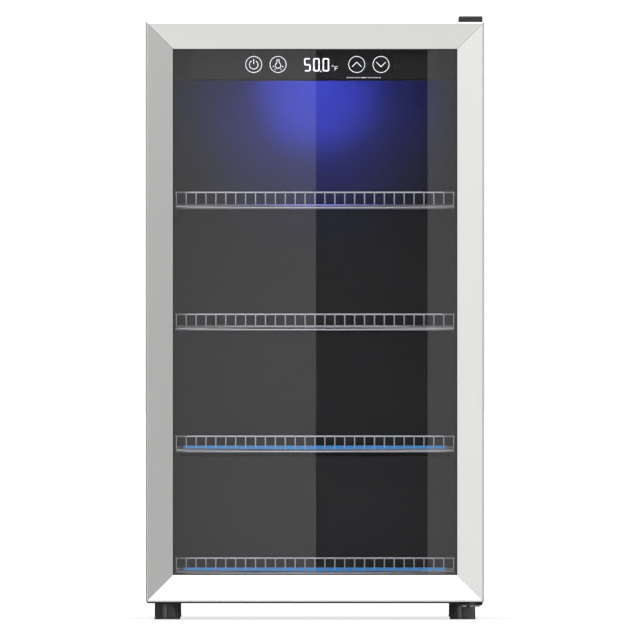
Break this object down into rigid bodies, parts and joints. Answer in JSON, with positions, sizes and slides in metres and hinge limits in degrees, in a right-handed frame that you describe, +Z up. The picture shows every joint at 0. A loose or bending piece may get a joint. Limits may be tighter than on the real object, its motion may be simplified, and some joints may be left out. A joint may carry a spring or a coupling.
{
  "type": "mini fridge",
  "caption": "Free-standing glass-door drinks cooler with a stainless door frame, wire shelves with upright fences, a touch panel behind the glass and a rear compressor.",
  "frame": {"origin": "on the floor, under the centre of the overall box", "axes": "+Z up, the door faces -Y, the door's hinge is on the +X side"},
  "size_m": [0.47, 0.445, 0.8393],
  "materials": {
    "stainless": "satin",
    "black_plastic": "satin",
    "black_gloss": "gloss",
    "liner_plastic": "satin",
    "black_paint": "satin",
    "zinc_steel": "satin",
    "foam": "matte",
    "door_glass": "gloss",
    "spacer": "satin",
    "seal_rubber": "matte",
    "magnet": "matte",
    "nylon": "satin",
    "chrome": "polished",
    "blue_strip": "gloss",
    "circuit": "satin",
    "display": "gloss",
    "lens": "satin",
    "compressor_paint": "gloss",
    "copper": "satin",
    "evaporator_alloy": "satin",
    "white_plastic": "satin",
    "screw_steel": "satin"
  },
  "bodies": {
    "cabinet": {"outer_wrap": "black_paint", "back_panel": "zinc_steel", "base_plate": "black_paint", "insulation": "foam", "inner_liner": "liner_plastic", "rear_feet": "black_gloss", "top_hinge_plate": "black_paint", "top_hinge_cover": "black_gloss", "bottom_hinge_plate": "black_paint", "hinge_pins": "screw_steel", "hinge_screws": "screw_steel", "hinge_hole_plugs": "black_plastic", "control_housing": "black_plastic", "control_fascia": "black_gloss", "touch_overlay": "black_gloss", "display_module": "display", "circuit_boards": "circuit", "light_lens": "lens", "temperature_probe": "black_plastic", "evaporator": "evaporator_alloy", "evaporator_pipes": "copper", "drain_tube": "white_plastic", "drip_tray": "black_plastic", "compressor": "compressor_paint", "compressor_mounts": "seal_rubber", "compressor_bolts": "screw_steel", "relay_cover": "black_plastic", "filter_drier": "copper", "condenser_pipes": "copper", "condenser_tube": "black_paint", "condenser_wires": "black_paint", "condenser_brackets": "zinc_steel", "rear_screws": "screw_steel", "cord_gland": "black_plastic"},
    "door": {"trim_stiles": "stainless", "trim_rails": "stainless", "frame_left": "black_plastic", "frame_right": "black_plastic", "frame_rails": "black_plastic", "front_glass": "door_glass", "rear_glass": "door_glass", "glass_spacer": "spacer", "glazing_bead": "seal_rubber", "door_gasket": "seal_rubber", "gasket_magnets": "magnet", "door_bushes": "nylon"},
    "stud_left": {"foot_stud_left": "screw_steel"},
    "foot_left": {"foot_pad_left": "black_gloss"},
    "stud_right": {"foot_stud_right": "screw_steel"},
    "foot_right": {"foot_pad_right": "black_gloss"},
    "shelf_1": {"shelf_deck_1": "chrome", "shelf_fence_1": "chrome", "shelf_strip_1": "blue_strip"},
    "shelf_2": {"shelf_deck_2": "chrome", "shelf_fence_2": "chrome", "shelf_strip_2": "blue_strip"},
    "shelf_3": {"shelf_deck_3": "chrome", "shelf_fence_3": "chrome"},
    "shelf_4": {"shelf_deck_4": "chrome", "shelf_fence_4": "chrome"}
  },
  "joints": [
    {"name": "door_hinge", "type": "hinge", "parent": "cabinet", "child": "door", "pos_m": [0.219, -0.1989, 0.428], "axis": [0, 0, 1], "range_deg": [0, 110]},
    {"name": "stud_left_travel", "type": "slide", "parent": "cabinet", "child": "stud_left", "axis": [0, 0, -1], "range_m": [0, 0.01]},
    {"name": "foot_left_turn", "type": "hinge", "parent": "stud_left", "child": "foot_left", "pos_m": [-0.2056, -0.13, 0.01], "axis": [0, 0, -1], "range_deg": [0, 2880]},
    {"name": "stud_right_travel", "type": "slide", "parent": "cabinet", "child": "stud_right", "axis": [0, 0, -1], "range_m": [0, 0.01]},
    {"name": "foot_right_turn", "type": "hinge", "parent": "stud_right", "child": "foot_right", "pos_m": [0.2056, -0.13, 0.01], "axis": [0, 0, -1], "range_deg": [0, 2880]},
    {"name": "shelf_1_slide", "type": "slide", "parent": "cabinet", "child": "shelf_1", "axis": [0, -1, 0], "range_m": [0, 0.017]},
    {"name": "shelf_2_slide", "type": "slide", "parent": "cabinet", "child": "shelf_2", "axis": [0, -1, 0], "range_m": [0, 0.017]},
    {"name": "shelf_3_slide", "type": "slide", "parent": "cabinet", "child": "shelf_3", "axis": [0, -1, 0], "range_m": [0, 0.017]},
    {"name": "shelf_4_slide", "type": "slide", "parent": "cabinet", "child": "shelf_4", "axis": [0, -1, 0], "range_m": [0, 0.017]}
  ],
  "couplings": [
    {"joint": "foot_left_turn", "follows": "stud_left_travel", "rad_per_m": 5026.5},
    {"joint": "foot_right_turn", "follows": "stud_right_travel", "rad_per_m": 5026.5}
  ]
}
